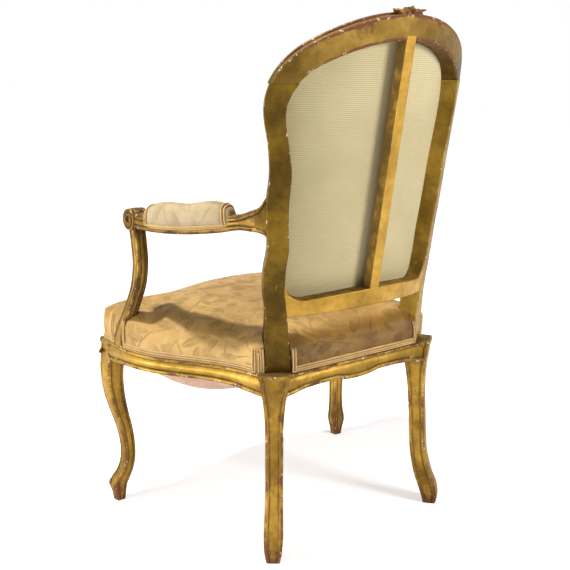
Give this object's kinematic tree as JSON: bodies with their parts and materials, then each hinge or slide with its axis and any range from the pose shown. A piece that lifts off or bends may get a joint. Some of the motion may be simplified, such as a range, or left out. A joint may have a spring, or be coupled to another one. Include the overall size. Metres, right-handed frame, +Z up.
{
  "type": "open armchair",
  "caption": "Gilded open armchair with a bowed raked back, swept arms with pads, cabriole legs and a stuffed damask seat",
  "frame": {"origin": "on the floor, in the middle of the chair's width and depth", "axes": "+Z up, +X to the sitter's left, +Y to the rear of the chair"},
  "size_m": [0.6254, 0.5831, 0.953],
  "materials": {
    "gilded_wood": "worn water gilding over red bole, satin",
    "bare_wood": "bare beech",
    "iron": "dark iron",
    "seat_damask": "straw-gold satin damask",
    "pad_damask": "pale gold satin damask",
    "ribbed_lining": "sage ribbed cotton",
    "gimp": "woven braid",
    "webbing": "jute webbing",
    "canvas": "hessian",
    "stuffing": "curled hair under wadding",
    "bottom_cloth": "faded pink cotton"
  },
  "bodies": {
    "root": {"rear_post_left": "gilded_wood", "rear_post_right": "gilded_wood", "front_leg_left": "gilded_wood", "front_leg_right": "gilded_wood", "front_rail": "gilded_wood", "rear_rail": "gilded_wood", "side_rail_left": "gilded_wood", "side_rail_right": "gilded_wood", "crest_rail": "gilded_wood", "lower_back_rail": "gilded_wood", "back_strut": "gilded_wood", "arm_left": "gilded_wood", "arm_right": "gilded_wood", "arm_support_left": "gilded_wood", "arm_support_right": "gilded_wood", "arm_screws": "iron", "arm_dowels": "bare_wood", "arm_stuffing_left": "stuffing", "arm_stuffing_right": "stuffing", "arm_cover_left": "pad_damask", "arm_cover_right": "pad_damask", "seat_webbing": "webbing", "seat_canvas": "canvas", "seat_stuffing": "stuffing", "seat_cover": "seat_damask", "seat_gimp": "gimp", "bottom_cloth": "bottom_cloth", "outside_back_cover": "ribbed_lining", "back_webbing": "webbing", "back_canvas": "canvas", "back_stuffing": "stuffing", "inside_back_cover": "seat_damask", "back_gimp": "gimp"}
  },
  "joints": []
}
